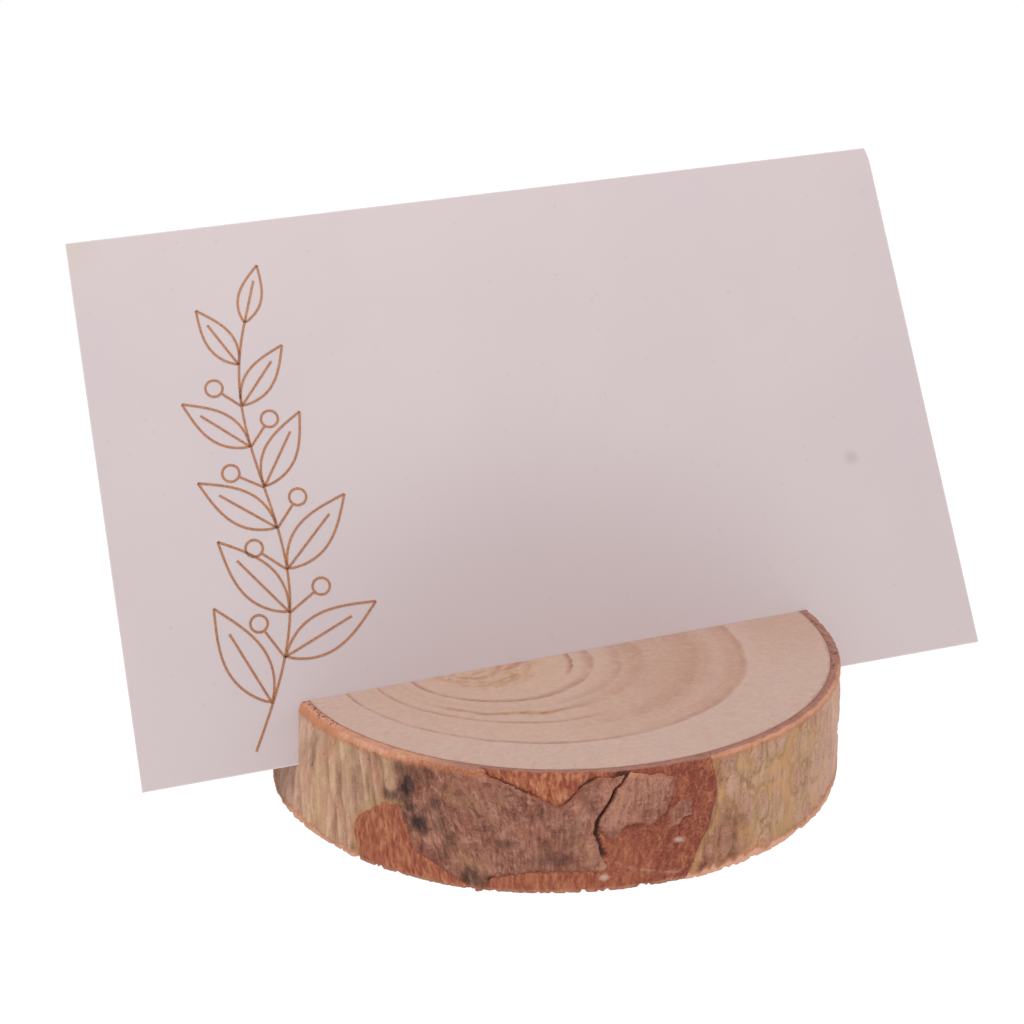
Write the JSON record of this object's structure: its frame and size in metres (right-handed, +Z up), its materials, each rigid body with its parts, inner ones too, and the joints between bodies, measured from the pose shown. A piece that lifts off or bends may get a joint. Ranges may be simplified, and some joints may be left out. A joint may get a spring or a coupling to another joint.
{
  "type": "place card holder",
  "caption": "Bark-edged round wood slice with a leaning saw slot across its top face, holding a flat printed card.",
  "frame": {"origin": "middle of the slice's underside, on the surface it stands on", "axes": "+X along the slot, towards the end where the card stands out less; +Y the way the card leans back; +Z up"},
  "size_m": [0.0895, 0.059, 0.0566],
  "materials": {
    "wood": "smooth sanded end grain, pinkish tan with thin brown rings",
    "inner_bark": "raw, reddish orange",
    "bark_olive": "rough, ridged, beige and grey-green",
    "bark_brown": "rough, flaky, mauve-brown",
    "card": "matte uncoated card, pale pinkish grey",
    "foil": "copper-coloured print, satin"
  },
  "bodies": {
    "slice": {"wood_slice": "wood", "inner_bark": "inner_bark", "bark_left": "bark_olive", "bark_front": "bark_brown", "bark_middle": "bark_brown", "bark_flake": "bark_brown", "bark_right": "bark_olive", "bark_back_right": "bark_olive", "bark_back": "bark_brown", "bark_back_left": "bark_olive"},
    "card": {"place_card": "card", "card_print": "foil"}
  },
  "joints": [
    {"name": "card_lift", "type": "slide", "parent": "slice", "child": "card", "axis": [0.0087, 0.4384, 0.8988], "range_m": [0, 0.012]}
  ]
}
